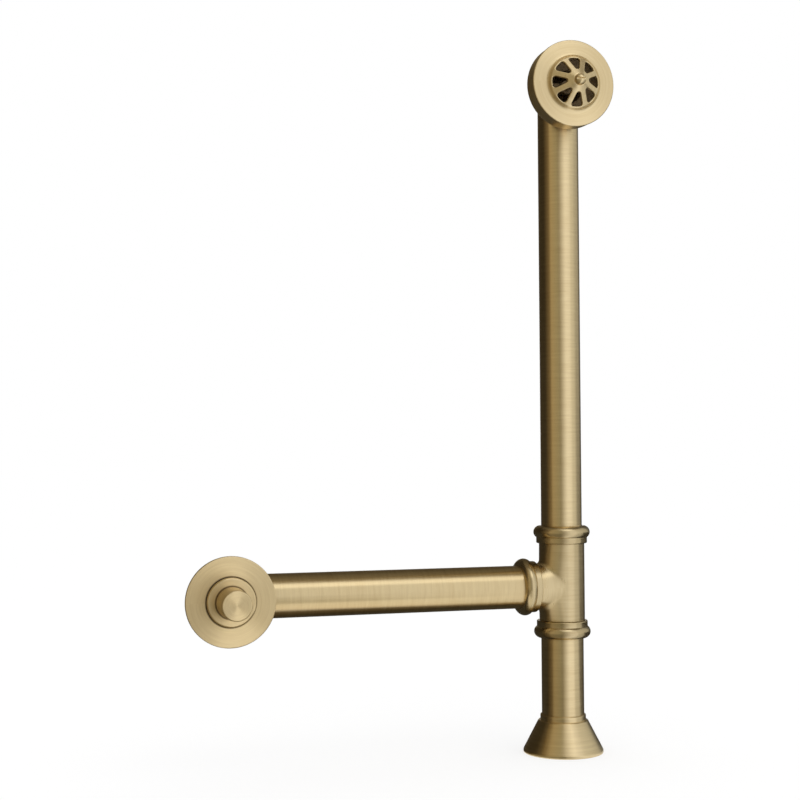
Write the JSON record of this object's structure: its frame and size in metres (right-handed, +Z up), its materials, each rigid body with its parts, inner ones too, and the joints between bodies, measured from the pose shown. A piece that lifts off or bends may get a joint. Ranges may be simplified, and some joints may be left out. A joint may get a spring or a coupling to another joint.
{
  "type": "bath waste and overflow",
  "caption": "Exposed brushed-brass bath waste and overflow: upright tube with a round grilled plate, side tube to a stoppered drain, tee with beaded slip nuts, tail and floor bell.",
  "frame": {"origin": "on the axis of the riser and tail tubes, at the tail tube's open lower end, level with the bell's lip on the floor", "axes": "+Z up along the riser, -X along the waste tube towards the drain, -Y out of the overflow plate and the drain"},
  "size_m": [0.3993, 0.1087, 0.661],
  "materials": {
    "brass": "brushed, antique tone",
    "rubber": "matte",
    "steel": "plain spring steel"
  },
  "bodies": {
    "frame": {"drain_body": "brass", "drain_gasket": "rubber", "drain_shoe": "brass", "overflow_elbow": "brass", "overflow_faceplate": "brass", "overflow_gasket": "rubber", "overflow_screw": "brass", "riser_nut": "brass", "riser_slip_ring": "brass", "riser_tube": "brass", "riser_washer": "rubber", "stopper_post": "brass", "tail_nut": "brass", "tail_slip_ring": "brass", "tail_tube": "brass", "tail_washer": "rubber", "tee": "brass", "waste_nut": "brass", "waste_slip_ring": "brass", "waste_tube": "brass", "waste_washer": "rubber"},
    "bell": {"floor_bell": "brass"},
    "stopper": {"stopper_disc": "brass", "stopper_seal": "rubber"},
    "knob": {"stopper_knob": "brass", "stopper_spindle": "brass", "disc_clip": "steel", "end_clip": "steel"}
  },
  "joints": [
    {"name": "stopper_lift", "type": "slide", "parent": "frame", "child": "stopper", "axis": [0, -1, 0], "range_m": [0, 0.0095]},
    {"name": "knob_turn", "type": "hinge", "parent": "stopper", "child": "knob", "pos_m": [-0.32, -0.04, 0.155], "axis": [0, -1, 0], "range_deg": [0, 90]},
    {"name": "bell_slide", "type": "slide", "parent": "frame", "child": "bell", "axis": [0, 0, 1], "range_m": [0, 0.07]}
  ]
}
